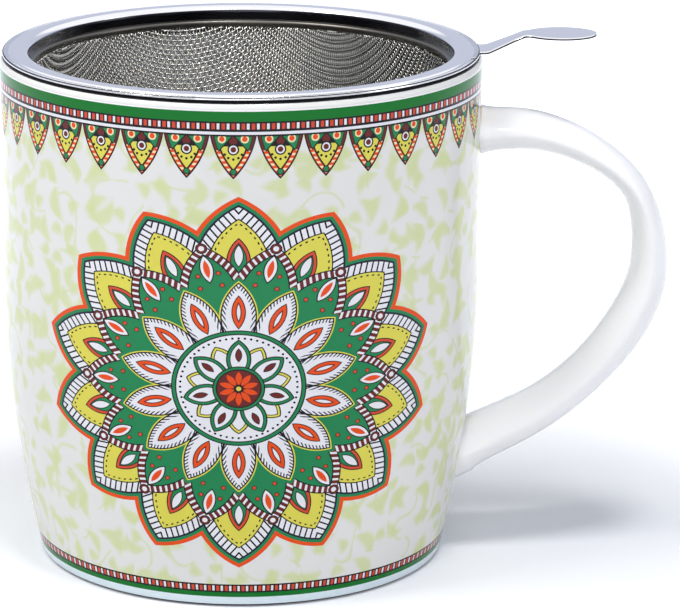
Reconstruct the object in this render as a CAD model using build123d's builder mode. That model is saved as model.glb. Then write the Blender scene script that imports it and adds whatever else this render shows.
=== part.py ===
from build123d import *
from math import pi, sqrt
import os

# Tea mug with a drop-in strainer cup (infuser). Millimetres, Z up, Z = 0 on the foot ring,
# +X towards the handle. The infuser hangs by its flange on the lip of the mug.

# Mug body: the wall is upright above the belly and curves in towards the foot below it
mug_height = 92.8  # foot ring to the top of the lip
barrel_radius = 43.5  # outside of the upright wall
belly_height = 56.0  # where the wall starts to curve in
belly_radius = 245.0  # radius of that long curve
wall = 3.4
lip_round = 1.6  # the lip is rounded inside and outside
floor_thickness = 4.2
floor_corner = 11.0  # inside corner between the wall and the floor
heel_round = 1.2  # outside corner at the foot
foot_ring_width = 3.6  # flat ring that the mug stands on, from the heel round inwards
foot_recess = 1.8  # depth of the hollow inside the foot ring
recess_round = 0.8

# Handle: a strap with an oval section, drawn out to a soft ridge along each side
handle_reach = 30.9  # barrel wall to the centreline at its furthest
upper_root_drop = 14.4  # lip down to the centreline at the upper root
lower_root_height = 19.6  # foot up to the centreline at the lower root
root_flare = 1.4  # how much thicker and wider the strap is at its ends, inside the wall
root_bite = 7.0  # how far the strap is drawn past the wall before it is trimmed to it
ridge_place = 0.66  # share of the half width where the section is checked for fullness
ridge_fullness = 0.69  # share of the half thickness there; 0.75 would be a plain ellipse

# Strap stations from the upper root to the lower one: share of the reach, share of the
# height between the roots, thickness, width along Y
strap_stations = [
    (0.030, 0.000, 7.7, 14.4),
    (0.284, 0.001, 7.1, 13.8),
    (0.533, 0.037, 6.1, 13.8),
    (0.759, 0.105, 5.3, 13.8),
    (0.915, 0.190, 5.0, 13.8),
    (0.997, 0.320, 6.1, 13.8),
    (1.000, 0.462, 7.2, 13.8),
    (0.869, 0.632, 7.9, 13.9),
    (0.647, 0.777, 7.6, 14.2),
    (0.379, 0.892, 7.9, 14.8),
    (0.026, 0.989, 8.6, 16.2),
]

# Infuser rim: one pressed sheet, a flat flange with a joggled collar
sheet = 0.55
seat_gap = 0.25  # flange above the lip
flange_inset = 0.5  # flange edge inside the barrel's outside
edge_round = 0.2  # dressed edge of the flange
collar_clearance = 1.35  # collar to the inside of the mug
collar_depth = 2.55  # top of the flange to the ledge
collar_bend = 0.95  # bend between flange and collar, at the middle of the sheet
joggle = 0.9  # how far the lip below the ledge steps inwards
joggle_bend = 0.3
lip_length = 1.9  # ledge to the bottom of the collar's lip

# Strainer cup of woven wire, drawn in one piece and welded inside the collar's lip
mesh_thickness = 0.4
weld_gap = 0.0  # the cup sits against the lip
mesh_top_gap = 1.1  # top of the ledge to the cut edge of the mesh
cup_depth = 63.0  # top of the flange to the underside of the cup
cup_seam = 4.0  # upright band at the top of the cup, inside the collar's lip
cup_draft = 1.6  # how much smaller in radius the cup is at its floor
cup_corner = 6.0

# Openings of the cup: the weave is gathered into a plain grid of level slots
bar = 1.9  # width of the bars between the openings
side_columns = 16  # openings round the side, an even number
side_rows = 12
side_margin = 1.6  # closed band under the seam and above the corner
floor_columns = 4  # the floor's openings have the size of the side's
floor_rows = 14

# Thumb tab: a strip lapped into the underside of the flange, over the handle
tab_sheet = 0.55
tab_root_width = 7.6
tab_neck_width = 5.0
tab_lap = 3.6  # length of the thinned tongue under the flange
lap_share = 0.5  # share of the flange's sheet that the tongue takes
tab_flat = 1.3  # flat strip outside the flange before it rises
tab_rise = 2.85  # height of the paddle above the root
tab_rise_length = 6.8
tab_bend = 3.0
neck_start = 6.2  # flange edge to where the strip has narrowed to the neck
paddle_start = 8.4  # flange edge to the near end of the paddle
paddle_length = 12.6
paddle_width = 11.4
neck_round = 2.5


def wall_radius(height, inset=0.0):
    """Radius of the mug's wall at a height, as far inside its outside as the inset."""
    drop = max(belly_height - height, 0.0)
    return barrel_radius - belly_radius + sqrt((belly_radius - inset) ** 2 - drop**2)


def belly_arc(bottom, inset=0.0):
    """The long curve of the belly from a bottom height up to the upright wall."""
    middle = (bottom + belly_height) / 2
    return ThreePointArc(
        (wall_radius(bottom, inset), bottom),
        (wall_radius(middle, inset), middle),
        (wall_radius(belly_height, inset), belly_height),
    )


def corner_near(section, across, up):
    """The corner of a section that lies nearest to a point of its plane."""
    return section.vertices().sort_by_distance((across, up))[0]


# Places that follow from the sizes above
floor_top = foot_recess + floor_thickness
foot_edge = wall_radius(0.0)
recess_radius = foot_edge - heel_round - foot_ring_width
flange_bottom = mug_height + seat_gap
flange_top = flange_bottom + sheet
flange_radius = barrel_radius - flange_inset
collar_middle = barrel_radius - wall - collar_clearance - sheet / 2
ledge_middle = flange_top - collar_depth - sheet / 2
lip_middle = collar_middle - joggle
cup_radius = lip_middle - sheet / 2 - weld_gap
cup_middle = cup_radius - mesh_thickness / 2
cup_top = ledge_middle + sheet / 2 - mesh_top_gap
cup_bottom = flange_top - cup_depth

os.makedirs("parts", exist_ok=True)

# ---------------------------------------------------------------- mug body
with BuildPart() as mug_body:
    with BuildSketch(Plane.XZ) as body_section:
        with BuildLine():
            Line((0, foot_recess), (recess_radius, foot_recess))
            Line((recess_radius, foot_recess), (recess_radius, 0))
            Line((recess_radius, 0), (foot_edge, 0))
            belly_arc(0.0)
            Line((barrel_radius, belly_height), (barrel_radius, mug_height))
            Line((barrel_radius, mug_height), (barrel_radius - wall, mug_height))
            Line((barrel_radius - wall, mug_height), (barrel_radius - wall, belly_height))
            belly_arc(floor_top, wall)
            Line((wall_radius(floor_top, wall), floor_top), (0, floor_top))
            Line((0, floor_top), (0, foot_recess))
        make_face()
        fillet(body_section.vertices().group_by(Axis.Y)[-1], lip_round)
        fillet(corner_near(body_section, wall_radius(floor_top, wall), floor_top), floor_corner)
        fillet(corner_near(body_section, foot_edge, 0), heel_round)
        fillet(corner_near(body_section, recess_radius, foot_recess), recess_round)
        fillet(corner_near(body_section, recess_radius, 0), recess_round)
    revolve(axis=Axis.Z)
mug_body.part.label = "mug_body"
export_step(mug_body.part, "parts/mug_body.step")


# ---------------------------------------------------------------- handle
def strap_point(across, down):
    """A point of the handle's centreline from its shares of the reach and the height."""
    top = mug_height - upper_root_drop
    return Vector(barrel_radius + across * handle_reach, 0, top - down * (top - lower_root_height))


def strap_section(place, direction, thickness, width):
    """The strap's section square to its centreline, with a soft ridge along each side."""
    half_width = width / 2
    half_thickness = thickness / 2
    shoulder = (ridge_place * half_width, ridge_fullness * half_thickness)
    with BuildSketch(Plane(origin=place, x_dir=(0, 1, 0), z_dir=direction)) as section:
        with BuildLine():
            Spline(
                (half_width, 0),
                shoulder,
                (0, half_thickness),
                (-shoulder[0], shoulder[1]),
                (-half_width, 0),
                (-shoulder[0], -shoulder[1]),
                (0, -half_thickness),
                (shoulder[0], -shoulder[1]),
                periodic=True,
            )
        make_face()
    return section.sketch


with BuildPart() as mug_handle:
    places = [strap_point(across, down) for across, down, thickness, width in strap_stations]
    sizes = [(thickness, width) for across, down, thickness, width in strap_stations]
    with BuildLine(mode=Mode.PRIVATE) as centreline:
        Spline(*places)
    spine = centreline.edge()
    upper_end = places[0] - (spine % 0) * (root_bite + places[0].X - barrel_radius)
    lower_end = places[-1] + (spine % 1) * (root_bite + places[-1].X - barrel_radius)
    strap = [
        strap_section(place, spine % spine.param_at_point(place), *size)
        for place, size in zip(places, sizes)
    ]
    upper_root = strap_section(upper_end, spine % 0, *[side + root_flare for side in sizes[0]])
    lower_root = strap_section(lower_end, spine % 1, *[side + root_flare for side in sizes[-1]])
    loft(sections=[upper_root, *strap, lower_root])
    # The roots are trimmed to the outside of the barrel, where they are luted on
    with BuildSketch(Plane.XZ):
        with BuildLine():
            Line((0, 0), (foot_edge, 0))
            belly_arc(0.0)
            Line((barrel_radius, belly_height), (barrel_radius, mug_height))
            Line((barrel_radius, mug_height), (0, mug_height))
            Line((0, mug_height), (0, 0))
        make_face()
    revolve(axis=Axis.Z, mode=Mode.SUBTRACT)
mug_handle.part.label = "mug_handle"
export_step(mug_handle.part, "parts/mug_handle.step")

# ---------------------------------------------------------------- infuser rim
lap_thickness = sheet * lap_share
with BuildPart() as infuser_rim:
    with BuildSketch(Plane.XZ) as rim_section:
        with BuildLine():
            FilletPolyline(
                (flange_radius, flange_top - sheet / 2),
                (collar_middle, flange_top - sheet / 2),
                (collar_middle, ledge_middle),
                (lip_middle, ledge_middle),
                (lip_middle, ledge_middle - lip_length),
                radius=[collar_bend, joggle_bend, joggle_bend],
            )
        trace(line_width=sheet)
        fillet(rim_section.vertices().group_by(Axis.X)[-1], edge_round)
    revolve(axis=Axis.Z)
    # Coined pocket in the underside that takes the tab's tongue
    with BuildSketch(Plane.XY.offset(flange_bottom)):
        with Locations((flange_radius - tab_lap, 0)):
            Rectangle(2 * tab_lap, tab_root_width, align=(Align.MIN, Align.CENTER))
    extrude(amount=lap_thickness, mode=Mode.SUBTRACT)
infuser_rim.part.label = "infuser_rim"
export_step(infuser_rim.part, "parts/infuser_rim.step")

# ---------------------------------------------------------------- thumb tab
root_middle = flange_bottom + lap_thickness - tab_sheet / 2
paddle_middle = paddle_start + paddle_length / 2
neck_end = flange_radius + paddle_middle
with BuildPart() as infuser_tab:
    # Side view: the tongue, then the strip rising to the paddle
    with BuildSketch(Plane.XZ):
        with BuildLine():
            FilletPolyline(
                (flange_radius, root_middle),
                (flange_radius + tab_flat, root_middle),
                (flange_radius + tab_flat + tab_rise_length, root_middle + tab_rise),
                (flange_radius + paddle_start + paddle_length, root_middle + tab_rise),
                radius=tab_bend,
            )
        trace(line_width=tab_sheet)
        with Locations((flange_radius, flange_bottom)):
            Rectangle(tab_lap, lap_thickness, align=(Align.MAX, Align.MIN))
    extrude(amount=paddle_width, both=True)
    # Plan view: root, neck and oval paddle
    with BuildSketch(Plane.XY.offset(flange_bottom - tab_sheet)) as plan:
        with BuildLine():
            Polyline(
                (flange_radius - tab_lap, -tab_root_width / 2),
                (flange_radius + tab_flat, -tab_root_width / 2),
                (flange_radius + neck_start, -tab_neck_width / 2),
                (neck_end, -tab_neck_width / 2),
                (neck_end, tab_neck_width / 2),
                (flange_radius + neck_start, tab_neck_width / 2),
                (flange_radius + tab_flat, tab_root_width / 2),
                (flange_radius - tab_lap, tab_root_width / 2),
                close=True,
            )
        make_face()
        with Locations((neck_end, 0)):
            Ellipse(paddle_length / 2, paddle_width / 2)
        near_end = flange_radius + paddle_start
        waist = plan.vertices().filter_by_position(Axis.X, near_end, neck_end, (False, False))
        fillet(waist, neck_round)
    extrude(amount=tab_rise + 2 * tab_sheet, mode=Mode.INTERSECT)
infuser_tab.part.label = "infuser_tab"
export_step(infuser_tab.part, "parts/infuser_tab.step")

# ---------------------------------------------------------------- strainer cup
side_top = cup_top - cup_seam - side_margin
side_bottom = cup_bottom + cup_corner + side_margin
row_pitch = (side_top - side_bottom) / side_rows
column_pitch = 2 * pi * cup_radius / side_columns

# What one column of openings takes out of the cup, on both sides of the axis
with BuildPart() as opening_column:
    with BuildSketch(Plane.YZ):
        with Locations((0, (side_top + side_bottom) / 2)):
            with GridLocations(column_pitch, row_pitch, 1, side_rows):
                Rectangle(column_pitch - bar, row_pitch - bar)
    extrude(amount=barrel_radius, both=True)

with BuildPart() as mesh_basket:
    with BuildSketch(Plane.XZ) as cup_section:
        with BuildLine():
            FilletPolyline(
                (cup_middle, cup_top),
                (cup_middle, cup_top - cup_seam),
                (cup_middle - cup_draft, cup_bottom + mesh_thickness / 2),
                (0, cup_bottom + mesh_thickness / 2),
                radius=[cup_corner, cup_corner],
            )
        trace(line_width=mesh_thickness)
    revolve(axis=Axis.Z)
    # Openings in the side, in pairs that face each other across the cup
    with PolarLocations(0, side_columns // 2, angular_range=180):
        add(opening_column.part, mode=Mode.SUBTRACT)
    # Openings in the floor, inside the corner
    with BuildSketch(Plane.XY.offset(cup_bottom)):
        with GridLocations(column_pitch, row_pitch, floor_columns, floor_rows):
            Rectangle(column_pitch - bar, row_pitch - bar)
        Circle(cup_radius - cup_draft - cup_corner, mode=Mode.INTERSECT)
    extrude(amount=mesh_thickness, mode=Mode.SUBTRACT)
mesh_basket.part.label = "mesh_basket"
export_step(mesh_basket.part, "parts/mesh_basket.step")
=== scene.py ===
from math import cos, pi, radians, sin, tan

import bpy
import numpy as np
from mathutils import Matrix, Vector


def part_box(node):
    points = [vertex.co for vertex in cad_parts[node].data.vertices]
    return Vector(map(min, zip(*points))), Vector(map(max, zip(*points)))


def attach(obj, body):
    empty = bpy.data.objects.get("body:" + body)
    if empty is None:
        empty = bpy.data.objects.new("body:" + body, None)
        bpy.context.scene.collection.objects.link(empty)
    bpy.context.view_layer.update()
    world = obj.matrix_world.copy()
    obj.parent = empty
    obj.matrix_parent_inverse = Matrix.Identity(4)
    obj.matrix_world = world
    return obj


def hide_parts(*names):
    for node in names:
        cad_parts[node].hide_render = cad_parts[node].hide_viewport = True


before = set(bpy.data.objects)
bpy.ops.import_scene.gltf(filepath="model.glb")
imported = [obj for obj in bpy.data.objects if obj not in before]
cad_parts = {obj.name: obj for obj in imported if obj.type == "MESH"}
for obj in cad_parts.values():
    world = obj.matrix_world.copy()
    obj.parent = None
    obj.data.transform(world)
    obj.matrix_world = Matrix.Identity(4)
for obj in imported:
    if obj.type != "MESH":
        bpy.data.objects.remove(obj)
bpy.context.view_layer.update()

MM = 0.001

# ------------------------------------------------------------------ sizes, in millimetres
# The mug's section: an upright wall, a long belly curve and a ringed foot
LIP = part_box("mug_body")[1][2] / MM
BARREL = 43.5
BELLY_HEIGHT = 56.0
BELLY_RADIUS = 245.0
WALL = 3.4
LIP_ROUND = 1.6
FLOOR_TOP = 6.0
FLOOR_CORNER = 11.0
FOOT_RECESS = 1.8
FOOT_RING = 3.6
HEEL_ROUND = 1.2
RECESS_ROUND = 0.8
BARE_RISE = 0.4  # how high the unglazed clay of the foot's ring reaches
CONTACT_SHADOW_WIDTH = 1.5  # the width of the painted contact shadow along that ring's outer edge
SHOULDER_WIDTH = 1.2  # how far in over the lip the print reaches, carrying the painted shadow under the flange's hem

# The handle's strap: where its centreline lies, and how it swells where it meets the wall
HANDLE_REACH = 30.9
HANDLE_TOP = LIP - 14.4
HANDLE_FOOT = 19.6
ROOT_RUN = 9.0
FLARE = 0.6
FLARE_RUN = 1.3
RIDGE = 0.25
# Share of the reach, share of the height, thickness and width, from the upper root to the lower
STRAP = [
    (0.030, 0.000, 7.7, 14.4),
    (0.284, 0.001, 7.1, 13.8),
    (0.533, 0.037, 6.1, 13.8),
    (0.759, 0.105, 5.3, 13.8),
    (0.915, 0.190, 5.0, 13.8),
    (0.997, 0.320, 6.1, 13.8),
    (1.000, 0.462, 7.2, 13.8),
    (0.869, 0.632, 7.9, 13.9),
    (0.647, 0.777, 7.6, 14.2),
    (0.379, 0.892, 7.9, 14.8),
    (0.026, 0.989, 8.6, 16.2),
]

# The infuser: flange, joggled collar, woven cup and thumb tab
SHEET = 0.55
FLANGE_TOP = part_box("infuser_rim")[1][2] / MM
FLANGE_RADIUS = BARREL - 0.5
FLANGE_ROLL = 2.0  # width of the flange's outer margin, which falls a little
FLANGE_FALL = 0.16
HEM = 0.36  # radius of the hem folded under the flange's edge
HEM_PAINTED_LINE = (0.55, 0.9)  # a painted line of shade at the hem's bend, in shares of that radius above its middle
COLLAR = 38.375
COLLAR_BEND = 0.95
LEDGE = FLANGE_TOP - 2.55 - SHEET / 2
JOGGLE = 0.9
JOGGLE_BEND = 0.3
LIP_LENGTH = 1.9
CUP_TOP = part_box("mesh_basket")[1][2] / MM
CUP_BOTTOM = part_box("mesh_basket")[0][2] / MM
CUP_SHEET = 0.4
CUP_RADIUS = COLLAR - JOGGLE - SHEET / 2 - CUP_SHEET / 2
CUP_SEAM = 4.0
CUP_DRAFT = 1.6
CUP_CORNER = 6.0

# The woven sheet of the cup, and how drawing it from a flat disc moved its wires
WIRE = 0.27
WIRES_PER_MM = 1.07
DRAW_TURN = 0.08
DRAW_TWIST = 0.0024
GATHER_THIRD = 0.068
GATHER_FIFTH = 0.035

TAB_SHEET = 0.55
TAB_ROOT = 3.8
TAB_LAP = 0.6  # how far the tab reaches in under the flange's hem
TAB_NECK = 2.5
TAB_FLAT = 1.3
TAB_RISE = 2.85
TAB_RISE_LENGTH = 6.8
TAB_BEND = 3.0
NECK_START = 6.2
PADDLE_START = 8.4
PADDLE_LENGTH = 12.6
PADDLE_WIDTH = 11.4
WAIST_BLEND = 1.4
TAB_TIP = 0.02
TAB_SHADE = 0.35  # the tab is painted shade, in near-black steel, below this sine round its section


def srgb(red, green, blue):
    """A colour given as 0 to 255 on the sRGB scale, as the linear values that shaders take."""
    share = np.array([red, green, blue]) / 255
    linear = np.where(share <= 0.04045, share / 12.92, ((share + 0.055) / 1.055) ** 2.4)
    return (*map(float, linear), 1.0)


# ------------------------------------------------------------------ surfaces
def rounded(corners):
    """The points of a line with its corners rounded.

    Each corner is (across, up, radius). An arc of that radius touches both legs of the corner,
    at the radius times the tangent of half the turn from it.
    """
    points = []
    places = [np.array(corner[:2], float) for corner in corners]
    for index, (_, _, radius) in enumerate(corners):
        here = places[index]
        if radius == 0:
            points.append(here)
            continue
        arriving = here - places[index - 1]
        leaving = places[index + 1] - here
        arriving /= np.linalg.norm(arriving)
        leaving /= np.linalg.norm(leaving)
        turn = np.arctan2(arriving[0] * leaving[1] - arriving[1] * leaving[0], arriving @ leaving)
        start = here - arriving * radius * tan(abs(turn) / 2)
        side = np.array([-arriving[1], arriving[0]]) * np.sign(turn)
        centre = start + side * radius
        steps = np.linspace(0, turn, max(4, int(abs(turn) / radians(7))))
        spoke = -side * radius
        points += [centre + np.array([spoke[0] * cos(a) - spoke[1] * sin(a),
                                      spoke[0] * sin(a) + spoke[1] * cos(a)]) for a in steps]
    return np.array(points)


def piece_from(name, points, faces, materials):
    """A smooth mesh object in metres from points in millimetres and a list of faces."""
    mesh = bpy.data.meshes.new(name)
    mesh.from_pydata((np.asarray(points) * MM).tolist(), [], faces)
    for material in materials:
        mesh.materials.append(material)
    mesh.polygons.foreach_set("use_smooth", np.full(len(mesh.polygons), True))
    mesh.update()
    piece = bpy.data.objects.new(name, mesh)
    bpy.context.collection.objects.link(piece)
    return piece


def grid_faces(rows, columns, close_rows, close_columns):
    """The four-cornered faces of a grid of points, wrapped round where it is closed."""
    row = np.arange(rows if close_rows else rows - 1)
    column = np.arange(columns if close_columns else columns - 1)
    row, column = np.meshgrid(row, column, indexing="ij")
    row_next = (row + 1) % rows
    column_next = (column + 1) % columns
    corners = [row * columns + column, row_next * columns + column,
               row_next * columns + column_next, row * columns + column_next]
    return np.stack([corner.ravel() for corner in corners], axis=1)


def lathed(name, profile, materials, zones=None, closed=False, turns=256):
    """A profile of (radius, height) turned about Z.

    Point (i, j) is (r_i cos a_j, r_i sin a_j, z_i) with a_j = 2 pi j / turns. An open profile runs
    from the axis to the axis, and its two ends become poles. zones gives a material for each row.
    """
    angle = np.linspace(0, 2 * pi, turns, endpoint=False)
    ring = profile if closed else profile[1:-1]
    radius, height = ring[:, :1], ring[:, 1:]
    points = np.stack([radius * np.cos(angle), radius * np.sin(angle),
                       np.broadcast_to(height, (len(ring), turns))], axis=2).reshape(-1, 3)
    faces = grid_faces(len(ring), turns, closed, True)[:, ::-1].tolist()
    if not closed:
        count = len(points)
        points = np.vstack([points, [0, 0, profile[0, 1]], [0, 0, profile[-1, 1]]])
        last = count - turns
        faces += [[count, (j + 1) % turns, j] for j in range(turns)]
        faces += [[count + 1, last + j, last + (j + 1) % turns] for j in range(turns)]
    piece = piece_from(name, points, faces, materials)
    if zones is not None:
        rows = np.repeat(zones[:len(ring) - (0 if closed else 1)], turns)
        if not closed:
            rows = np.concatenate([rows, np.full(turns, zones[0]), np.full(turns, zones[-1])])
        piece.data.polygons.foreach_set("material_index", rows.astype(np.int32))
    return piece


def strip_section(path, thickness):
    """The outline of a sheet of even thickness that follows a path, with rounded edges.

    Each side is the path moved half a thickness along its normal, and each end is a half circle.
    """
    tangent = np.gradient(path, axis=0)
    tangent /= np.linalg.norm(tangent, axis=1, keepdims=True)
    normal = np.stack([-tangent[:, 1], tangent[:, 0]], axis=1)
    half = thickness / 2
    sweep = np.linspace(0, pi, 9)[1:-1, None]
    end_cap = path[-1] + half * (np.cos(sweep) * normal[-1] + np.sin(sweep) * tangent[-1])
    start_cap = path[0] + half * (-np.cos(sweep) * normal[0] - np.sin(sweep) * tangent[0])
    return np.vstack([path + half * normal, end_cap, (path - half * normal)[::-1], start_cap])


def capped(name, points, materials):
    """A tube from a grid of points, one row a loop, with each end closed by a fan to its middle."""
    rows, columns = points.shape[:2]
    faces = grid_faces(rows, columns, False, True).tolist()
    count = rows * columns
    points = np.vstack([points.reshape(-1, 3), points[0].mean(axis=0), points[-1].mean(axis=0)])
    faces += [[count, j, (j + 1) % columns] for j in range(columns)]
    last = count - columns
    faces += [[count + 1, last + (j + 1) % columns, last + j] for j in range(columns)]
    return piece_from(name, points, faces, materials)


def natural_spline(knots, values, where):
    """A smooth curve through values at the knots, straight at both ends, read at other places."""
    gap = np.diff(knots)
    slope = np.diff(values, axis=0) / gap[:, None]
    count = len(knots)
    matrix = np.eye(count)
    right = np.zeros_like(values)
    inner = np.arange(1, count - 1)
    matrix[inner, inner - 1] = gap[:-1]
    matrix[inner, inner] = 2 * (gap[:-1] + gap[1:])
    matrix[inner, inner + 1] = gap[1:]
    right[1:-1] = 6 * (slope[1:] - slope[:-1])
    bend = np.linalg.solve(matrix, right)
    cell = np.clip(np.searchsorted(knots, where) - 1, 0, count - 2)
    h = gap[cell][:, None]
    ahead = (knots[cell + 1] - where)[:, None]
    behind = (where - knots[cell])[:, None]
    cubic = (bend[cell] * ahead**3 + bend[cell + 1] * behind**3) / (6 * h)
    line = (values[cell] / h - bend[cell] * h / 6) * ahead
    return cubic + line + (values[cell + 1] / h - bend[cell + 1] * h / 6) * behind


# ------------------------------------------------------------------ numbers over a surface
class Field:
    """A number that varies over a surface, worked out by Math nodes."""

    def __init__(self, tree, source):
        self.tree = tree
        self.source = source

    def work(self, operation, *others):
        """One Math node with this number first, then the others."""
        node = self.tree.nodes.new("ShaderNodeMath")
        node.operation = operation
        for socket, value in zip(node.inputs, (self, *others)):
            if isinstance(value, Field):
                self.tree.links.new(value.source, socket)
            else:
                socket.default_value = value
        return Field(self.tree, node.outputs[0])

    def __add__(self, other):
        return self.work("ADD", other)

    def __sub__(self, other):
        return self.work("SUBTRACT", other)

    def __mul__(self, other):
        return self.work("MULTIPLY", other)

    def above(self, other):
        """A mask: one where this number is the greater, else nothing."""
        return self.work("GREATER_THAN", other)

    def below(self, other):
        """A mask: one where this number is the smaller, else nothing."""
        return self.work("LESS_THAN", other)

    def between(self, low, high):
        """A mask that is one above the low number and below the high one."""
        return self.above(low) * self.below(high)

    def size(self):
        """This number without its sign."""
        return self.work("ABSOLUTE")

    def inside(self, edge, softness):
        """A mask that fades from one to nothing as this distance passes an edge."""
        share = (self * (-1 / softness)) + (edge / softness + 0.5)
        share.source.node.use_clamp = True
        return share

    def greater(self, other):
        """The greater of the two numbers."""
        return self.work("MAXIMUM", other)

    def repeated(self, pitch, phase=0.0):
        """Distance from the nearest of a row of places, a pitch apart, signed."""
        return ((self * (1 / pitch) + (0.5 + phase)).work("FRACT") - 0.5) * pitch


def own_places(tree):
    """The x, y and z of a point of the piece, in millimetres."""
    split = tree.nodes.new("ShaderNodeSeparateXYZ")
    tree.links.new(tree.nodes.new("ShaderNodeTexCoord").outputs["Object"], split.inputs[0])
    return [Field(tree, output) * (1 / MM) for output in split.outputs]


def reach(x, y):
    """Distance of a point from the origin."""
    return (x * x + y * y).work("SQRT")


def from_disc(x, y, centre_x, centre_y, radius):
    """Distance from a disc's edge, below zero inside."""
    return reach(x - centre_x, y - centre_y) - radius


def from_petal(x, y, start, tip, half_width):
    """Distance from the edge of a pointed petal that lies along x, y being folded at its middle.

    A petal is two equal arcs that meet at its start and its tip. With half a length of l and half
    a width of w, each arc has a radius of (l * l + w * w) / (2 * w).
    """
    half_length = (tip - start) / 2
    radius = (half_length**2 + half_width**2) / (2 * half_width)
    return from_disc(x, y, (start + tip) / 2, half_width - radius, radius)


class Print:
    """Printed decoration: inks laid one over another, each where its mask is one."""

    def __init__(self, tree, ground):
        self.tree = tree
        self.colour = ground

    def ink(self, where, colour):
        """Lays one ink over what is printed so far."""
        mix = self.tree.nodes.new("ShaderNodeMix")
        mix.data_type = "RGBA"
        self.tree.links.new(where.source, mix.inputs[0])
        if isinstance(self.colour, tuple):
            mix.inputs[6].default_value = self.colour
        else:
            self.tree.links.new(self.colour, mix.inputs[6])
        mix.inputs[7].default_value = colour
        self.colour = mix.outputs[2]


# ------------------------------------------------------------------ inks and finishes
CHINA = srgb(222, 222, 220)
FOOT_BAND = srgb(222, 236, 243)
LEAF = srgb(205, 214, 160)
GREEN = srgb(2, 112, 36)
PETAL_GREEN = srgb(28, 128, 78)
BLACK = srgb(22, 18, 24)
NAVY = srgb(28, 28, 52)
ORANGE = srgb(226, 76, 22)
CORAL = srgb(206, 72, 48)
MAROON = srgb(104, 36, 34)
YELLOW = srgb(216, 208, 84)
CREAM = srgb(238, 222, 178)
WHITE = srgb(226, 226, 232)
# painted shadow: the dark gap under the flange's hem, on the lip's shoulder
LIP_PAINTED_SHADOW = srgb(52, 51, 54)

# Bare and glazed china, and the steel's tints, several of them painted shade or painted highlight
GLAZE_WHITE = srgb(241, 241, 243)
# painted shade: the grey of the mug's inside lower down
INSIDE_PAINTED_SHADE = srgb(170, 170, 170)
BARE = srgb(222, 220, 214)
BARE_SPECK = srgb(208, 204, 196)
# painted shadow where the foot's ring meets the table
CONTACT_PAINTED_SHADOW = srgb(26, 25, 28)
POLISHED = (0.82, 0.82, 0.83, 1)
# painted shade: the collar's near-black inner wall; SHADED_SIDE is the paler tone painted towards
# both sides
SHADED = (0.03, 0.03, 0.037, 1)
SHADED_SIDE = (0.38, 0.38, 0.41, 1)
# painted shade: the lip below the ledge, darkened steel that is also rougher
DULL_SHADED_TINT = (0.10, 0.095, 0.085, 1)
# painted shade: near-black for what faces down under the flange, the hem's painted line and the
# tab's lower part
PAINTED_SHADE_BLACK = (0.010, 0.010, 0.012, 1)
# painted highlight and shade on the wire: lighter across the middle, darker towards both sides
WIRE_PAINTED_LIT = (0.90, 0.89, 0.84, 1)
WIRE_PAINTED_SHADE = (0.40, 0.395, 0.37, 1)


def new_material(name):
    """A material with its Principled shader and node tree."""
    material = bpy.data.materials.new(name)
    material.use_nodes = True
    return material, material.node_tree, material.node_tree.nodes["Principled BSDF"]


def noise(tree, scale, detail=2.0, vector=None):
    """A noise pattern over the object's own coordinates, in metres."""
    node = tree.nodes.new("ShaderNodeTexNoise")
    node.inputs["Scale"].default_value = scale
    node.inputs["Detail"].default_value = detail
    if vector is None:
        vector = tree.nodes.new("ShaderNodeTexCoord").outputs["Object"]
    tree.links.new(vector, node.inputs["Vector"])
    return Field(tree, node.outputs["Fac"])


def bumped(tree, shader, height, strength, distance):
    """Roughens a shader's surface by a height field."""
    bump = tree.nodes.new("ShaderNodeBump")
    bump.inputs["Strength"].default_value = strength
    bump.inputs["Distance"].default_value = distance
    tree.links.new(height.source, bump.inputs["Height"])
    tree.links.new(bump.outputs["Normal"], shader.inputs["Normal"])


def glazed(tree, shader):
    """A clear fired glaze: glossy, and very slightly uneven."""
    shader.inputs["Roughness"].default_value = 0.1
    shader.inputs["IOR"].default_value = 1.5
    shader.inputs["Specular IOR Level"].default_value = 0.15
    bumped(tree, shader, noise(tree, 90.0), 0.05, 0.0006)


def plain_china():
    """White bone china under glaze, which lets a little light through."""
    material, tree, shader = new_material("china_white")
    shader.inputs["Base Color"].default_value = GLAZE_WHITE
    shader.inputs["Subsurface Weight"].default_value = 0.25
    shader.inputs["Subsurface Radius"].default_value = (1.0, 0.9, 0.8)
    shader.inputs["Subsurface Scale"].default_value = 0.003
    glazed(tree, shader)
    return material


def inside_china():
    """The china inside the mug, white at the lip and greyer lower down, the grey being painted
    shade.
    """
    material, tree, shader = new_material("china_inside")
    height = own_places(tree)[2]
    shade = Print(tree, GLAZE_WHITE)
    # painted shade: the inside greys below the lip
    shade.ink(height.inside(LIP - 5.0, 6.0), INSIDE_PAINTED_SHADE)
    tree.links.new(shade.colour, shader.inputs["Base Color"])
    glazed(tree, shader)
    return material


def bare_china():
    """The unglazed ring that the mug stands on: matt and a little grey, with a painted contact
    shadow at its outer edge.
    """
    material, tree, shader = new_material("china_bare")
    x, y = own_places(tree)[:2]
    shade = Print(tree, BARE)
    shade.ink(noise(tree, 900.0, 4.0).above(0.56), BARE_SPECK)
    # painted contact shadow along the outer edge of the ring
    shade.ink(reach(x, y).above(wall_radius(0.0) - CONTACT_SHADOW_WIDTH), CONTACT_PAINTED_SHADOW)
    tree.links.new(shade.colour, shader.inputs["Base Color"])
    shader.inputs["Roughness"].default_value = 0.75
    bumped(tree, shader, noise(tree, 2500.0), 0.3, 0.0002)
    return material


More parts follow.
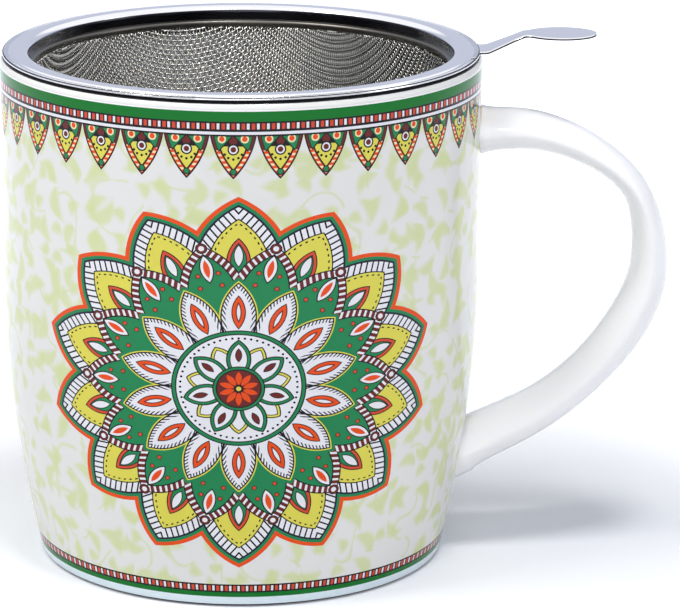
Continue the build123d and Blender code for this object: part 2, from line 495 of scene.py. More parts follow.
def steel(name, tint, roughness, grain):
    """Polished stainless steel with faint polishing grain."""
    material, tree, shader = new_material(name)
    shader.inputs["Base Color"].default_value = tint
    shader.inputs["Metallic"].default_value = 1.0
    shine = noise(tree, grain, 3.0) * 0.06 + (roughness - 0.03)
    tree.links.new(shine.source, shader.inputs["Roughness"])
    bumped(tree, shader, noise(tree, grain * 1.7), 0.04, 0.0002)
    return material


def shaded_steel():
    """The collar's inner wall: polished steel darkened as painted shade, and painted paler towards
    both sides.
    """
    material, tree, shader = new_material("steel_shaded")
    aside = own_places(tree)[0].size()
    shade = Print(tree, SHADED)
    # painted lighter towards both sides
    shade.ink((aside * -1.0).inside(-35.0, 5.0), SHADED_SIDE)
    tree.links.new(shade.colour, shader.inputs["Base Color"])
    shader.inputs["Metallic"].default_value = 1.0
    shader.inputs["Roughness"].default_value = 0.16
    bumped(tree, shader, noise(tree, 400.0), 0.05, 0.0003)
    return material


def dark_steel():
    """Steel that faces down, and the painted line along the hem: near-black and rough, as painted
    shade.
    """
    material, tree, shader = new_material("steel_dark")
    shader.inputs["Base Color"].default_value = PAINTED_SHADE_BLACK
    shader.inputs["Specular IOR Level"].default_value = 0.1
    shine = noise(tree, 400.0, 3.0) * 0.1 + 0.45
    tree.links.new(shine.source, shader.inputs["Roughness"])
    bumped(tree, shader, noise(tree, 700.0), 0.04, 0.0002)
    return material


def wire_steel():
    """The strainer's wire, with painted light and shade: lighter across the middle of the cup,
    darker towards both sides.
    """
    material, tree, shader = new_material("steel_wire")
    aside = (own_places(tree)[0] + 6.0).size()
    shade = Print(tree, WIRE_PAINTED_LIT)
    # painted shade towards both sides of the cup
    shade.ink((aside * -1.0).inside(-22.0, 14.0), WIRE_PAINTED_SHADE)
    tree.links.new(shade.colour, shader.inputs["Base Color"])
    shader.inputs["Metallic"].default_value = 1.0
    shine = noise(tree, 900.0, 3.0) * 0.06 + 0.17
    tree.links.new(shine.source, shader.inputs["Roughness"])
    return material


def mug_places(tree):
    """Where a point of the mug is: turns round from the front, and height in millimetres.

    The turn is atan2(-y, -x) / (2 pi) - 1/4, so that it is 0 at the front and the jump from one
    end of the print to the other lies under the handle.
    """
    x, y, height = own_places(tree)
    turn = (y * -1.0).work("ARCTAN2", x * -1.0) * (1 / (2 * pi)) - 0.25
    return turn, height


ROUND = 2 * pi * BARREL  # the print's length round the barrel


def scattered(tree, around, height, pitch, shift):
    """Places about the nearest of a scatter of points, each turned its own way, and its lot."""
    join = tree.nodes.new("ShaderNodeCombineXYZ")
    tree.links.new((around * (1 / pitch) + shift).source, join.inputs[0])
    tree.links.new((height * (1 / pitch) + shift).source, join.inputs[1])
    cells = tree.nodes.new("ShaderNodeTexVoronoi")
    cells.voronoi_dimensions = "2D"
    cells.inputs["Scale"].default_value = 1.0
    cells.inputs["Randomness"].default_value = 0.8
    tree.links.new(join.outputs[0], cells.inputs["Vector"])
    away = tree.nodes.new("ShaderNodeVectorMath")
    away.operation = "SUBTRACT"
    tree.links.new(join.outputs[0], away.inputs[0])
    tree.links.new(cells.outputs["Position"], away.inputs[1])
    lot = tree.nodes.new("ShaderNodeSeparateColor")
    tree.links.new(cells.outputs["Color"], lot.inputs[0])
    turned = tree.nodes.new("ShaderNodeVectorRotate")
    turned.rotation_type = "Z_AXIS"
    tree.links.new(away.outputs[0], turned.inputs["Vector"])
    tree.links.new((Field(tree, lot.outputs[0]) * (2 * pi)).source, turned.inputs["Angle"])
    split = tree.nodes.new("ShaderNodeSeparateXYZ")
    tree.links.new(turned.outputs[0], split.inputs[0])
    x, y = (Field(tree, output) * pitch for output in split.outputs[:2])
    return x, y, Field(tree, lot.outputs[1])


# The scattered leaves: pitch, half length, half width, and shift of each scatter
LEAVES = [
    (7.6, 3.2, 1.3, 0.0),
    (6.1, 2.5, 1.1, 31.7),
    (4.7, 1.4, 1.0, 63.1),
]


def leaf_scrolls(tree, ink, turn, height):
    """Pale leaves scattered over the ground, with thin stems that curl between them.

    The stems are contour lines of a slow noise, broken off where another noise is low.
    """
    around = turn * ROUND
    flat = tree.nodes.new("ShaderNodeCombineXYZ")
    tree.links.new(around.source, flat.inputs[0])
    tree.links.new(height.source, flat.inputs[1])
    stem = (noise(tree, 0.11, 0.0, flat.outputs[0]) - 0.5).size()
    broken = noise(tree, 0.16, 1.0, flat.outputs[0]).above(0.48)
    ink.ink(stem.inside(0.016, 0.02) * broken * 0.6, LEAF)
    for pitch, length, width, shift in LEAVES:
        x, y, lot = scattered(tree, around, height, pitch, shift)
        bend = y - (x * x) * (0.45 / length)
        leaf = from_petal(x, bend.size(), -length, length, width)
        ink.ink(leaf.inside(0.0, 1.0) * lot.above(0.3) * 0.85, LEAF)


# The borders' heights, and that of the painted shadow on the lip's shoulder, each from its lower
# edge to its upper one
TOP_GREEN = (89.4, 91.2)
TOP_BRICKS = (88.0, 89.25)
TOP_LINE = (86.95, 87.85)
TOP_LINE_WHITE = (87.2, 87.7)
FOOT_BRICKS = (3.1, 4.35)
FOOT_GREEN = (2.0, 3.0)
# painted shadow, not a border: the dark gap under the flange's hem
SHOULDER_PAINTED_SHADOW = (LIP - 0.44, LIP - 0.12)
BRICK_PAIRS = 160.0  # pairs of dashes round the mug


def brick_band(ink, turn, height, low, high):
    """A black band with red and white dashes in turn."""
    ink.ink(height.between(low - 0.2, high + 0.2), BLACK)
    dash = (turn * BRICK_PAIRS).work("FRACT")
    inside = height.between(low + 0.12, high - 0.1)
    ink.ink(dash.between(0.06, 0.42) * inside, CORAL)
    ink.ink(dash.between(0.58, 0.86) * inside, WHITE)


PENDANTS = 34
PENDANT_TOP = 87.06


def pendants(ink, turn, height):
    """A row of pointed scallops. x is folded at the middle of each, and y runs down from its top.

    A scallop's side is an arc of 14.3 mm about (-10.1, -2.5), and the bands along its edge are
    told by the distance from that arc.
    """
    pitch = ROUND / PENDANTS
    x = (turn * ROUND + 1.3).repeated(pitch).size()
    y = (height - PENDANT_TOP) * -1.0
    edge = from_disc(x, y, -10.1, -2.5, 14.3)
    below_line = y.above(0.0)
    shape = edge.below(0.0) * below_line
    ink.ink(shape, BLACK)
    ink.ink(edge.between(-0.95, -0.22) * y.above(0.1), MAROON)
    bead = y.repeated(0.85).size()
    low = y.above(2.6)
    ink.ink(edge.between(-0.9, -0.28) * low, ORANGE)
    ink.ink(edge.between(-0.82, -0.34) * low * bead.below(0.2), CREAM)
    ink.ink(edge.below(-1.2) * y.above(1.9), YELLOW)
    slant = (x - 0.3) * 0.743 - (y - 0.1) * 0.669
    corner = edge.below(-0.72) * y.above(0.18)
    ink.ink(slant.above(-0.22) * edge.below(-0.6) * below_line, BLACK)
    ink.ink(slant.above(0.0) * corner, PETAL_GREEN)
    dot = reach(x - 1.95, y - 0.62)
    ink.ink(dot.below(0.72) * y.above(0.16), CREAM)
    ink.ink(dot.below(0.46) * y.above(0.16), ORANGE)
    ink.ink((x + y * 0.5).below(1.25) * slant.below(-0.22) * y.above(0.1), MAROON)
    eye = reach(x, y - 2.45)
    ink.ink(eye.below(1.0), BLACK)
    ink.ink(eye.below(0.74), WHITE)
    ink.ink(eye.below(0.48), MAROON)
    for across, down in ((0.0, 4.15), (0.86, 3.9), (1.45, 3.3)):
        ink.ink(reach(x - across, y - down).below(0.23), BLACK)
    tip = reach(x, y - 6.35)
    ink.ink(tip.below(0.62), BLACK)
    ink.ink(tip.below(0.44), PETAL_GREEN)


ROSETTE_HEIGHT = 42.2
ROSETTE_SIDE = -0.4
ROSETTE_STRETCH = 1.13  # how much wider it is than tall
PETALS = 14


def rosette(ink, turn, height):
    """A round ornament of petals, beads and rings, on the front and again on the back.

    For each ring of petals, x runs out along the nearest spoke and y across it, folded, so each
    petal is drawn once.
    """
    side = (turn.repeated(0.5) * ROUND - ROSETTE_SIDE) * (1 / ROSETTE_STRETCH)
    rise = height - ROSETTE_HEIGHT
    out = reach(side, rise)
    angle = side.work("ARCTAN2", rise)

    def spokes(count, phase=0.0):
        """Places out along the nearest of a ring of spokes and across it, folded."""
        near = angle.repeated(2 * pi / count, phase).size()
        return out * near.work("COSINE"), out * near.work("SINE")

    def beads(count, radius, size):
        """Distance from the edge of the nearest of a ring of beads."""
        near = angle.repeated(2 * pi / count) * radius
        return reach(out - radius, near) - size

    def layered(edge, layers):
        """Inks a shape in bands, each starting further inside its edge than the last."""
        for inset, colour in layers:
            ink.ink(edge.below(-inset), colour)

    # Outer petals: coloured edges, a band of white strokes, and a leaf on a yellow field
    x, y = spokes(PETALS)
    edge = from_petal(x, y, 8.0, 34.2, 8.2)
    layered(edge, ((0.0, ORANGE), (0.7, PETAL_GREEN), (1.25, NAVY), (1.6, WHITE)))
    layered(edge, ((3.3, BLACK), (3.5, YELLOW)))
    stroke = (x * 0.62 - y * 0.78).repeated(1.02).size()
    ink.ink(edge.between(-3.3, -1.6) * stroke.below(0.14), BLACK)
    ink.ink(edge.between(-4.1, -3.85) * stroke.above(0.3), BLACK)
    leaf = from_petal(x, y, 18.4, 27.0, 1.9)
    layered(leaf, ((0.0, BLACK), (0.18, CORAL), (0.6, BLACK), (0.75, PETAL_GREEN)))
    layered(from_petal(x, y, 22.0, 25.6, 0.62), ((-0.16, BLACK), (0.0, WHITE)))
    layered(reach(x - 23.4, y - 3.3) - 0.6, ((0.0, BLACK), (0.16, MAROON), (0.42, WHITE)))

    # Petals between them: a striped band round a green field with dots
    x, y = spokes(PETALS, 0.5)
    edge = from_petal(x, y, 8.0, 26.2, 5.2)
    layered(edge, ((0.0, BLACK), (0.22, WHITE)))
    stripe = (x * 0.72 - y * 0.69).repeated(1.0).size()
    ink.ink(edge.between(-1.3, -0.22) * stripe.below(0.3), MAROON)
    layered(edge, ((1.3, BLACK), (1.52, PETAL_GREEN)))
    layered(from_petal(x, y, 19.6, 24.2, 0.9), ((-0.2, BLACK), (0.0, WHITE), (0.42, ORANGE)))
    for along, across in ((18.7, 1.7), (17.0, 2.5), (20.9, 1.6)):
        layered(reach(x - along, y - across) - 0.42, ((0.0, BLACK), (0.12, CORAL)))
    layered(reach(x - 25.6, y) - 0.95, ((0.0, BLACK), (0.15, MAROON), (0.5, WHITE)))

    # White petals with a fine green edge and an orange drop
    x, y = spokes(PETALS)
    edge = from_petal(x, y, 6.5, 19.4, 3.0)
    layered(edge, ((-0.5, PETAL_GREEN), (0.0, YELLOW), (0.2, BLACK), (0.42, WHITE)))
    hatch = (x * 0.5 - y * 0.87).repeated(0.5).size()
    ink.ink(edge.between(-1.0, -0.42) * hatch.below(0.1), NAVY)
    drop = from_petal(x, y, 11.0, 16.6, 0.95)
    layered(drop, ((-0.16, BLACK), (0.0, ORANGE), (0.5, MAROON), (0.68, WHITE)))

    # A beaded ring round broad white petals, with narrow leaves between
    layered(out - 10.6, ((0.0, BLACK), (0.2, PETAL_GREEN), (0.65, BLACK), (0.85, WHITE)))
    ink.ink(beads(60, 9.15, 0.2).below(0.0), BLACK)
    x, y = spokes(7, 0.5)
    edge = from_petal(x, y, 2.0, 8.4, 1.9)
    layered(edge, ((0.0, BLACK), (0.2, YELLOW), (0.5, BLACK), (0.65, WHITE)))
    x, y = spokes(7)
    edge = from_petal(x, y, 2.0, 8.7, 1.75)
    layered(edge, ((-0.2, BLACK), (0.0, PETAL_GREEN), (0.35, BLACK), (0.5, WHITE)))
    layered(from_petal(x, y, 5.0, 7.2, 0.42), ((-0.12, BLACK), (0.0, MAROON)))

    # The centre
    layered(out - 4.1, ((0.0, BLACK), (0.2, PETAL_GREEN), (0.55, BLACK), (0.75, MAROON)))
    x, y = spokes(10)
    ink.ink(from_petal(x, y, 0.7, 3.1, 0.48).below(0.0), ORANGE)
    ink.ink(out.below(0.75), BLACK)
    ink.ink(out.below(0.4), YELLOW)


def printed_china():
    """The mug's outside: scrolls, borders and a rosette printed on white china under glaze,
    and a painted shadow under the flange's hem along the lip's shoulder.
    """
    material, tree, shader = new_material("china_printed")
    turn, height = mug_places(tree)
    ink = Print(tree, CHINA)
    leaf_scrolls(tree, ink, turn, height)
    ink.ink(height.above(PENDANT_TOP), CHINA)
    ink.ink(height.between(*TOP_GREEN), GREEN)
    # painted shadow of the flange's hem on the lip's shoulder
    ink.ink(height.between(*SHOULDER_PAINTED_SHADOW), LIP_PAINTED_SHADOW)
    brick_band(ink, turn, height, *TOP_BRICKS)
    ink.ink(height.between(*TOP_LINE), BLACK)
    pendants(ink, turn, height)
    ink.ink(height.between(*TOP_LINE_WHITE), WHITE)
    ink.ink(height.below(FOOT_GREEN[1]), FOOT_BAND)
    ink.ink(height.between(*FOOT_GREEN), GREEN)
    brick_band(ink, turn, height, *FOOT_BRICKS)
    rosette(ink, turn, height)
    tree.links.new(ink.colour, shader.inputs["Base Color"])
    glazed(tree, shader)
    return material


# ------------------------------------------------------------------ the mug
def wall_radius(height, inset=0.0):
    """Radius of the wall at a height, as far inside its outside as the inset."""
    drop = np.maximum(BELLY_HEIGHT - height, 0.0)
    return BARREL - BELLY_RADIUS + np.sqrt((BELLY_RADIUS - inset) ** 2 - drop**2)


def make_body(printed, plain, bare, inner):
    """The mug's section turned about its axis, from the middle of the foot to that of the floor.

    The foot's ring is bare, with a painted contact shadow at its outer edge, the outside up to the
    lip's shoulder is printed, with a painted shadow under the flange's hem along that shoulder, the
    rest of the lip is plain, and the inside has its own material, greyer lower down as painted
    shade.
    """
    foot = float(wall_radius(0.0))
    recess = foot - HEEL_ROUND - FOOT_RING
    rise = np.linspace(2 * HEEL_ROUND, BELLY_HEIGHT, 40)
    fall = np.linspace(BELLY_HEIGHT, FLOOR_TOP + 1.2 * FLOOR_CORNER, 30)
    under = rounded([
        (0, FOOT_RECESS, 0),
        (recess, FOOT_RECESS, RECESS_ROUND),
        (recess, 0, RECESS_ROUND),
        (foot - HEEL_ROUND - 0.1, 0, 0),
    ])
    heel = rounded([
        (foot - HEEL_ROUND, 0, 0),
        (foot, 0, HEEL_ROUND),
        (float(wall_radius(2 * HEEL_ROUND)), 2 * HEEL_ROUND, 0),
    ])[1:-1]
    belly = np.stack([wall_radius(rise), rise], axis=1)
    climb = np.linspace(BELLY_HEIGHT, LIP - LIP_ROUND, 21)[1:]
    upright = np.stack([np.full(len(climb), BARREL), climb], axis=1)
    lip = rounded([
        (BARREL, LIP - 2 * LIP_ROUND, 0),
        (BARREL, LIP, LIP_ROUND),
        (BARREL - WALL, LIP, LIP_ROUND),
        (BARREL - WALL, LIP - 2 * LIP_ROUND, 0),
    ])[1:-1]
    inside = np.stack([wall_radius(fall, WALL), fall], axis=1)
    bottom = rounded([
        (*inside[-1], 0),
        (float(wall_radius(FLOOR_TOP, WALL)), FLOOR_TOP, FLOOR_CORNER),
        (FLOOR_CORNER, FLOOR_TOP, 0),
        (0, FLOOR_TOP, 0),
    ])[1:]
    parts = [under, heel, belly, upright[:-1], lip, inside, bottom]
    profile = np.vstack(parts)
    print_zone, plain_zone, bare_zone, inner_zone = range(4)
    zone_of_part = [plain_zone, *[print_zone] * 3, plain_zone, *[inner_zone] * 2]
    zones = np.repeat(zone_of_part, [len(part) for part in parts])
    radius, height = profile.T
    zones[(height < BARE_RISE) & (radius > recess - 0.1)] = bare_zone
    zones[(height > LIP - LIP_ROUND) & (radius > BARREL - SHOULDER_WIDTH)] = print_zone
    body = lathed("mug_body_china", profile, [printed, plain, bare, inner], zones[1:])
    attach(body, "mug")
    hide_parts("mug_body")


def make_handle(material):
    """The strap: an oval section with a soft ridge on each side, carried along its centreline.

    The section at angle t is (w cos t, h sin t (1 - RIDGE cos^2 t)), w and h being half the width
    and half the thickness, which swell by FLARE exp(-d / FLARE_RUN) at a distance d from the wall.
    Each line along the strap is then cut where it meets the middle of the wall.
    """
    table = np.array(STRAP)
    height = HANDLE_TOP - table[:, 1] * (HANDLE_TOP - HANDLE_FOOT)
    stations = np.column_stack([BARREL + table[:, 0] * HANDLE_REACH, height, table[:, 2:]])
    inward, back = stations[0] - stations[1], stations[-1] - stations[-2]
    first = stations[0] + ROOT_RUN * inward / np.linalg.norm(inward)
    last = stations[-1] + ROOT_RUN * back / np.linalg.norm(back)
    stations = np.vstack([first, stations, last])
    stations[[0, -1], 2:] = stations[[1, -2], 2:]
    knots = np.concatenate([[0], np.cumsum(np.hypot(*np.diff(stations[:, :2], axis=0).T))])
    run = np.linspace(0, knots[-1], 260)
    line = natural_spline(knots, stations, run)
    way = np.gradient(line[:, :2], run, axis=0)
    way /= np.linalg.norm(way, axis=1, keepdims=True)
    off_wall = np.maximum(line[:, 0] - wall_radius(line[:, 1]), 0)
    flare = FLARE * np.exp(-off_wall / FLARE_RUN)
    angle = np.linspace(0, 2 * pi, 72, endpoint=False)
    across = (line[:, 3] / 2 + flare)[:, None] * np.cos(angle)
    up = (line[:, 2] / 2 + flare)[:, None] * np.sin(angle) * (1 - RIDGE * np.cos(angle) ** 2)
    strap = np.stack([line[:, :1] - way[:, 1:] * up, across,
                      line[:, 1:2] + way[:, :1] * up], axis=2)
    outside = np.hypot(strap[:, :, 0], strap[:, :, 1]) > wall_radius(strap[:, :, 2], WALL / 2)
    start = outside.argmax(axis=0) - 1
    end = len(run) - outside[::-1].argmax(axis=0)
    place = start + (end - start) * np.linspace(0, 1, 180)[:, None]
    whole = np.minimum(place.astype(int), len(run) - 2)
    share = (place - whole)[:, :, None]
    column = np.arange(len(angle))
    cut = strap[whole, column] * (1 - share) + strap[whole + 1, column] * share
    handle = capped("mug_handle_china", cut, [material])
    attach(handle, "mug")
    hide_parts("mug_handle")


# ------------------------------------------------------------------ the infuser
def make_rim(bright, shaded, dull_shaded, dark):
    """The flange and collar: one sheet that follows a rounded path, turned about the axis.

    The flange's margin falls a little towards its edge, which is hemmed: the last point of the path
    carries a round of radius HEM in place of half the sheet. The collar's inner wall is shaded
    steel, darkened as painted shade; the lip below the ledge is rougher steel, also darkened as
    painted shade;
    what faces down is near-black as painted shade, and so is a painted line of shade along the hem,
    told by its share of the hem's radius above the hem's middle.
    """
    half = SHEET / 2
    top = FLANGE_TOP - half
    path = rounded([
        (FLANGE_RADIUS - HEM, top - FLANGE_FALL, 0),
        (FLANGE_RADIUS - FLANGE_ROLL, top, 2 * FLANGE_ROLL),
        (COLLAR, top, COLLAR_BEND),
        (COLLAR, LEDGE, JOGGLE_BEND),
        (COLLAR - JOGGLE, LEDGE, JOGGLE_BEND),
        (COLLAR - JOGGLE, LEDGE - LIP_LENGTH + half, 0),
    ])
    section = strip_section(path, SHEET)
    hem_height = top - FLANGE_FALL + half - HEM
    sweep = np.linspace(0.5 * pi, -0.75 * pi, 13)
    hem = np.stack([FLANGE_RADIUS - HEM + HEM * np.cos(sweep),
                    hem_height + HEM * np.sin(sweep)], axis=1)
    section = np.vstack([section[1:-7], hem])
    radius, height = ((section + np.roll(section, -1, axis=0)) / 2).T
    underneath = np.arange(len(section)) < len(path) - 2
    up_hem = (height - hem_height) / HEM
    polished_zone, shaded_zone, dull_shaded_zone, dark_zone = range(4)
    zones = np.full(len(section), polished_zone)
    # painted shade: the collar's inner wall, what faces down, the hem's painted line and the lip
    # below the ledge are darkened
    zones[underneath & (radius > COLLAR + COLLAR_BEND)] = shaded_zone
    zones[(radius > FLANGE_RADIUS - HEM) & (up_hem > HEM_PAINTED_LINE[0]) & (up_hem < HEM_PAINTED_LINE[1])] = dark_zone
    zones[(height < hem_height) & (radius > COLLAR + COLLAR_BEND)] = dark_zone
    zones[~underneath & (radius < COLLAR) & (height < FLANGE_TOP - COLLAR_BEND * 0.7)] = shaded_zone
    zones[~underneath & (height < LEDGE + half + 0.05)] = dull_shaded_zone
    rim = lathed("infuser_rim_steel", section, [bright, shaded, dull_shaded, dark], zones,
                 closed=True, turns=320)
    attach(rim, "infuser")
    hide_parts("infuser_rim")


def make_tab(bright, dark):
    """The thumb tab: a strip whose width follows the root, the neck and the oval paddle.

    Half the width is the greater of the neck n and the oval o, with the waist between them rounded
    by b: (n + o + sqrt((n - o)^2 + b^2)) / 2. The section is a rectangle with rounded edges, whose
    lower part is near-black steel, as painted shade.
    """
    root = FLANGE_TOP - SHEET / 2 - TAB_SHEET / 2
    start = FLANGE_RADIUS - TAB_LAP
    end = FLANGE_RADIUS + PADDLE_START + PADDLE_LENGTH
    path = rounded([
        (start, root, 0),
        (FLANGE_RADIUS + TAB_FLAT, root, TAB_BEND),
        (FLANGE_RADIUS + TAB_FLAT + TAB_RISE_LENGTH, root + TAB_RISE, TAB_BEND),
        (end, root + TAB_RISE, 0),
    ])
    run = np.concatenate([[0], np.cumsum(np.hypot(*np.diff(path, axis=0).T))])
    even = (1 - np.cos(np.linspace(0, pi, 90))) / 2 * run[-1]
    x = np.interp(even, run, path[:, 0])
    z = np.interp(even, run, path[:, 1])
    middle = FLANGE_RADIUS + PADDLE_START + PADDLE_LENGTH / 2
    neck = np.interp(x - FLANGE_RADIUS,
                     [TAB_FLAT, NECK_START, PADDLE_START, middle - FLANGE_RADIUS],
                     [TAB_ROOT, TAB_NECK, TAB_NECK, 0])
    oval = PADDLE_WIDTH / 2 * np.sqrt(np.clip(1 - ((x - middle) / (PADDLE_LENGTH / 2)) ** 2, 0, 1))
    blend = WAIST_BLEND * np.clip((middle - x) / (PADDLE_LENGTH / 2), 0, 1)
    width = np.maximum((neck + oval + np.hypot(neck - oval, blend)) / 2, TAB_TIP)
    angle = np.linspace(0, 2 * pi, 40, endpoint=False)
    side, rise = np.cos(angle), np.sin(angle)
    across = width[:, None] * np.sign(side) * np.abs(side) ** 0.25
    up = np.minimum(TAB_SHEET / 2, width)[:, None] * np.sign(rise) * np.abs(rise) ** 0.7
    way = np.stack([np.gradient(x), np.gradient(z)], axis=1)
    way /= np.linalg.norm(way, axis=1, keepdims=True)
    points = np.stack([x[:, None] - way[:, 1:] * up, across,
                       z[:, None] + way[:, :1] * up], axis=2)
    tab = capped("infuser_tab_steel", points, [bright, dark])
    middle_angle = angle + pi / len(angle)
    # painted shade: faces low on the tab's section take the near-black steel
    zones = np.tile(np.sin(middle_angle) < TAB_SHADE, len(x) - 1)
    zones = np.concatenate([zones, np.zeros(2 * len(angle), bool)])
    tab.data.polygons.foreach_set("material_index", zones.astype(np.int32))
    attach(tab, "infuser")
    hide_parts("infuser_tab")


def cup_path():
    """The middle of the woven sheet, from the middle of the cup's floor to its cut edge."""
    low = CUP_BOTTOM + CUP_SHEET / 2
    return rounded([
        (0, low, 0),
        (CUP_RADIUS - CUP_DRAFT, low, CUP_CORNER),
        (CUP_RADIUS, CUP_TOP - CUP_SEAM, CUP_CORNER),
        (CUP_RADIUS, CUP_TOP - WIRE / 2, 0),
    ])


def gathered(turn, drawn):
    """How far across the flat sheet a point of a hoop lay before the cup was drawn.

    On a flat disc this is sin t. Drawing packs the wires together between the four places where
    they run straight up: sin t - d (a (sin 3t + sin t) + b (sin 5t - sin t)), d being how far the
    hoop was drawn, from 0 to 1.
    """
    third = GATHER_THIRD * (np.sin(3 * turn) + np.sin(turn))
    fifth = GATHER_FIFTH * (np.sin(5 * turn) - np.sin(turn))
    return np.sin(turn) - drawn * (third + fifth)


def drawn_places(across, along, wall_start, wall_end):
    """Where points of the flat sheet, counted in wires from its middle, lie on the drawn cup.

    Gives the turn about the axis and the length of cup from its middle. The gathering depends on
    the place sought, so turn and length are found together, by steps that close in on them.
    """
    bearing = np.arctan2(across, along)
    reached = np.hypot(across, along)
    turn = bearing
    length = reached / WIRES_PER_MM
    for _ in range(40):
        drawn = np.clip((length - wall_start) / (wall_end - wall_start), 0, 1)
        side, ahead = gathered(turn, drawn), gathered(pi / 2 - turn, drawn)
        miss = bearing - np.arctan2(side, ahead)
        turn = turn + 0.7 * np.arctan2(np.sin(miss), np.cos(miss))
        length = reached / np.hypot(side, ahead) / WIRES_PER_MM
    return turn + DRAW_TURN + DRAW_TWIST * length, length


def make_wires(name, across, along, side, material):
    """One set of the cup's wires as thin four-sided tubes, one to each row of places.

    A wire stands off the cup's middle surface by side * cos(pi (across + along)) half wires, so it
    passes over and under the crossing wires in turn. Corner k of a tube is its middle plus half a
    wire times (cos a_k normal + sin a_k edge), the edge being the wire's direction crossed with the
    normal. A wire ends where it reaches the cup's cut edge.
    """
    path = cup_path()
    run = np.concatenate([[0], np.cumsum(np.hypot(*np.diff(path, axis=0).T))])
    turn, length = drawn_places(across, along, CUP_RADIUS - CUP_DRAFT - CUP_CORNER, run[-1])
    inside = length < run[-1]
    length = np.minimum(length, run[-1])
    radius, height = np.interp(length, run, path[:, 0]), np.interp(length, run, path[:, 1])
    slope = np.gradient(path, run, axis=0)
    out, down = np.interp(length, run, slope[:, 1]), np.interp(length, run, slope[:, 0])
    normal = np.stack([out * np.cos(turn), out * np.sin(turn), -down], axis=2)
    normal /= np.linalg.norm(normal, axis=2, keepdims=True)
    wave = side * WIRE / 2 * np.cos(pi * (across + along))
    middle = np.stack([radius * np.cos(turn), radius * np.sin(turn), height], axis=2)
    middle = middle + wave[:, :, None] * normal
    edge = np.cross(np.gradient(middle, axis=1), normal)
    edge /= np.maximum(np.linalg.norm(edge, axis=2, keepdims=True), 1e-9)
    corner = np.arange(4) * pi / 2
    points = middle[:, :, None] + WIRE / 2 * (
        np.cos(corner)[:, None] * normal[:, :, None] + np.sin(corner)[:, None] * edge[:, :, None])
    rows, steps = across.shape
    kept = inside[:, 1:] | inside[:, :-1]
    before = np.pad(kept, ((0, 0), (1, 0)))
    after = np.pad(kept, ((0, 0), (0, 1)))
    first = 4 * np.arange(rows * steps).reshape(rows, steps)
    quads = grid_faces(2, 4, False, True)
    sides = first[:, :-1][kept][:, None, None] + quads
    starts = first[after & ~before][:, None] + [3, 2, 1, 0]
    ends = first[before & ~after][:, None] + [0, 1, 2, 3]
    faces = np.vstack([sides.reshape(-1, 4), starts, ends])
    used, faces = np.unique(faces, return_inverse=True)
    wires = piece_from(name, points.reshape(-1, 3)[used], faces.reshape(-1, 4).tolist(), [material])
    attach(wires, "infuser")
    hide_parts("mesh_basket")


def make_cup(material):
    """The cup of plain woven wire, drawn from one flat sheet: warp one way, weft the other."""
    path = cup_path()
    most = int(WIRES_PER_MM * np.hypot(*np.diff(path, axis=0).T).sum()) + 2
    steps = np.arange(-2 * most, 2 * most + 1) / 2
    for number, wires in enumerate(np.array_split(np.arange(-most, most + 1), 4)):
        fixed, running = np.meshgrid(wires, steps, indexing="ij")
        make_wires(f"mesh_warp_{number + 1}", fixed, running, 1, material)
        make_wires(f"mesh_weft_{number + 1}", running, fixed, -1, material)


# ------------------------------------------------------------------ stage, camera and lights
CAMERA_BACK = 650.0
CAMERA_HEIGHT = 226.1
CAMERA_PITCH = 15.55
CAMERA_LENS = 194.5
CAMERA_SHIFT = 0.1456

# The table glows white further from the mug than about CLEARING, over a fade of that width
CLEARING = 170.0
CLEARING_FADE = 160.0
TABLE = (0.8, 0.81, 0.83, 1)
TABLE_GLOW = (0.86, 0.9, 1.0, 1)

# The studio's light, and the room that shiny pieces mirror
STUDIO_LIGHT = (0.9, 0.95, 1.08, 1)
ROOM_WALLS = (0.62, 0.66, 0.80, 1)
ROOM_FRONT = (0.42, 0.44, 0.52, 1)
ROOM_UNLIT = (0.03, 0.03, 0.035, 1)
ROOM_CEILING = (1.15, 1.16, 1.2, 1)


def make_camera():
    """A long lens in front of the mug, raised and tipped down, its view shifted to the handle."""
    data = bpy.data.cameras.new("camera")
    data.lens = CAMERA_LENS
    data.sensor_width = 36.0
    data.shift_x = CAMERA_SHIFT
    data.clip_start = 0.01
    camera = bpy.data.objects.new("camera", data)
    camera.location = (0, -CAMERA_BACK * MM, CAMERA_HEIGHT * MM)
    camera.rotation_euler = (radians(90 - CAMERA_PITCH), 0, 0)
    bpy.context.collection.objects.link(camera)
    bpy.context.scene.camera = camera


def make_floor():
    """A white table top, which keeps the mug's shadow and fades to pure white away from it."""
    mesh = bpy.data.meshes.new("table_top")
    half = 3.0
    corners = [(-half, -half, 0), (half, -half, 0), (half, half, 0), (-half, half, 0)]
    mesh.from_pydata(corners, [], [(0, 1, 2, 3)])
    floor = bpy.data.objects.new("table_top", mesh)
    bpy.context.collection.objects.link(floor)
    material, tree, shader = new_material("table_white")
    shader.inputs["Base Color"].default_value = TABLE
    shader.inputs["Roughness"].default_value = 0.6
    shader.inputs["Specular IOR Level"].default_value = 0.0
    shader.inputs["Emission Color"].default_value = TABLE_GLOW
    path = tree.nodes.new("ShaderNodeLightPath")
    seen = Field(tree, path.outputs["Is Camera Ray"])
    mirrored = Field(tree, path.outputs["Is Glossy Ray"])
    x, y = own_places(tree)[:2]
    away = (reach(x, y) * -1.0).inside(-CLEARING, CLEARING_FADE)
    glow = seen.greater(mirrored) * (away * 0.75 + 0.15)
    tree.links.new(glow.source, shader.inputs["Emission Strength"])
    mesh.materials.append(material)


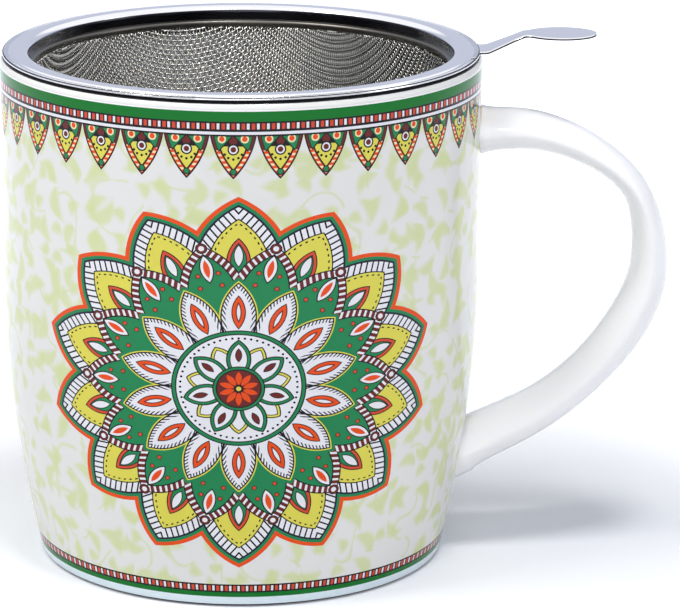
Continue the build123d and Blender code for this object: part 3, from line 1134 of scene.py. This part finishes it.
def area_light(name, place, aim, width, height, power, colour):
    """A soft rectangular lamp at a place, turned to face the aim, both in metres."""
    data = bpy.data.lights.new(name, "AREA")
    data.shape = "RECTANGLE"
    data.size = width
    data.size_y = height
    data.energy = power
    data.color = colour
    lamp = bpy.data.objects.new(name, data)
    lamp.location = place
    direction = np.array(aim) - np.array(place)
    lamp.rotation_euler = Vector(direction).to_track_quat("-Z", "Y").to_euler()
    bpy.context.collection.objects.link(lamp)


def make_world():
    """A pale studio: even light all round, white to the eye, with a wide white ceiling.

    Polished metal shows the ceiling down to 23 degrees, pale walls below it, a dimmer wall in front
    and the unlit part of the room low down there.
    """
    world = bpy.data.worlds.new("studio")
    world.use_nodes = True
    tree = world.node_tree
    light = tree.nodes["Background"]
    light.inputs["Color"].default_value = STUDIO_LIGHT
    light.inputs["Strength"].default_value = 0.31
    split = tree.nodes.new("ShaderNodeSeparateXYZ")
    tree.links.new(tree.nodes.new("ShaderNodeTexCoord").outputs["Generated"], split.inputs[0])
    front, up = Field(tree, split.outputs[1]), Field(tree, split.outputs[2])
    in_front = front.inside(-0.25, 0.5)
    room = Print(tree, ROOM_WALLS)
    room.ink(in_front, ROOM_FRONT)
    room.ink(in_front * up.inside(0.12, 0.12), ROOM_UNLIT)
    room.ink((up * -1.0).inside(-0.39, 0.1), ROOM_CEILING)
    mirrored = tree.nodes.new("ShaderNodeBackground")
    tree.links.new(room.colour, mirrored.inputs["Color"])
    backdrop = tree.nodes.new("ShaderNodeBackground")
    backdrop.inputs["Color"].default_value = (1, 1, 1, 1)
    path = tree.nodes.new("ShaderNodeLightPath")
    glossy = tree.nodes.new("ShaderNodeMixShader")
    tree.links.new(path.outputs["Is Glossy Ray"], glossy.inputs[0])
    tree.links.new(light.outputs[0], glossy.inputs[1])
    tree.links.new(mirrored.outputs[0], glossy.inputs[2])
    mix = tree.nodes.new("ShaderNodeMixShader")
    tree.links.new(path.outputs["Is Camera Ray"], mix.inputs[0])
    tree.links.new(glossy.outputs[0], mix.inputs[1])
    tree.links.new(backdrop.outputs[0], mix.inputs[2])
    tree.links.new(mix.outputs[0], tree.nodes["World Output"].inputs[0])
    bpy.context.scene.world = world


# The lamps: name, place, aim, width, height, power and colour
LAMPS = [
    ("key_left", (-0.6, -0.2, 1.05), (0, 0, 0.04), 0.55, 0.55, 9.0, (1.0, 0.985, 0.95)),
    ("top", (0.13, -0.28, 1.05), (0, 0, 0.05), 0.25, 0.25, 5.0, (1, 1, 1)),
    ("front", (-0.1, -1.3, 0.45), (0, 0, 0.05), 0.8, 0.6, 2.8, (1, 1, 1)),
    ("side_right", (1.2, -0.3, 0.45), (0, 0, 0.05), 0.5, 0.7, 2.5, (1, 1, 1)),
]

make_camera()
make_floor()
make_world()
for lamp in LAMPS:
    area_light(*lamp)
bpy.context.scene.view_settings.view_transform = "Standard"

china_white = plain_china()
make_body(printed_china(), china_white, bare_china(), inside_china())
make_handle(china_white)

polished = steel("steel_polished", POLISHED, 0.09, 260.0)
# rougher steel darkened as painted shade, for the lip below the ledge
dull_shaded = steel("steel_dull_shaded", DULL_SHADED_TINT, 0.3, 400.0)
dark = dark_steel()
make_rim(polished, shaded_steel(), dull_shaded, dark)
make_tab(polished, dark)
make_cup(wire_steel())
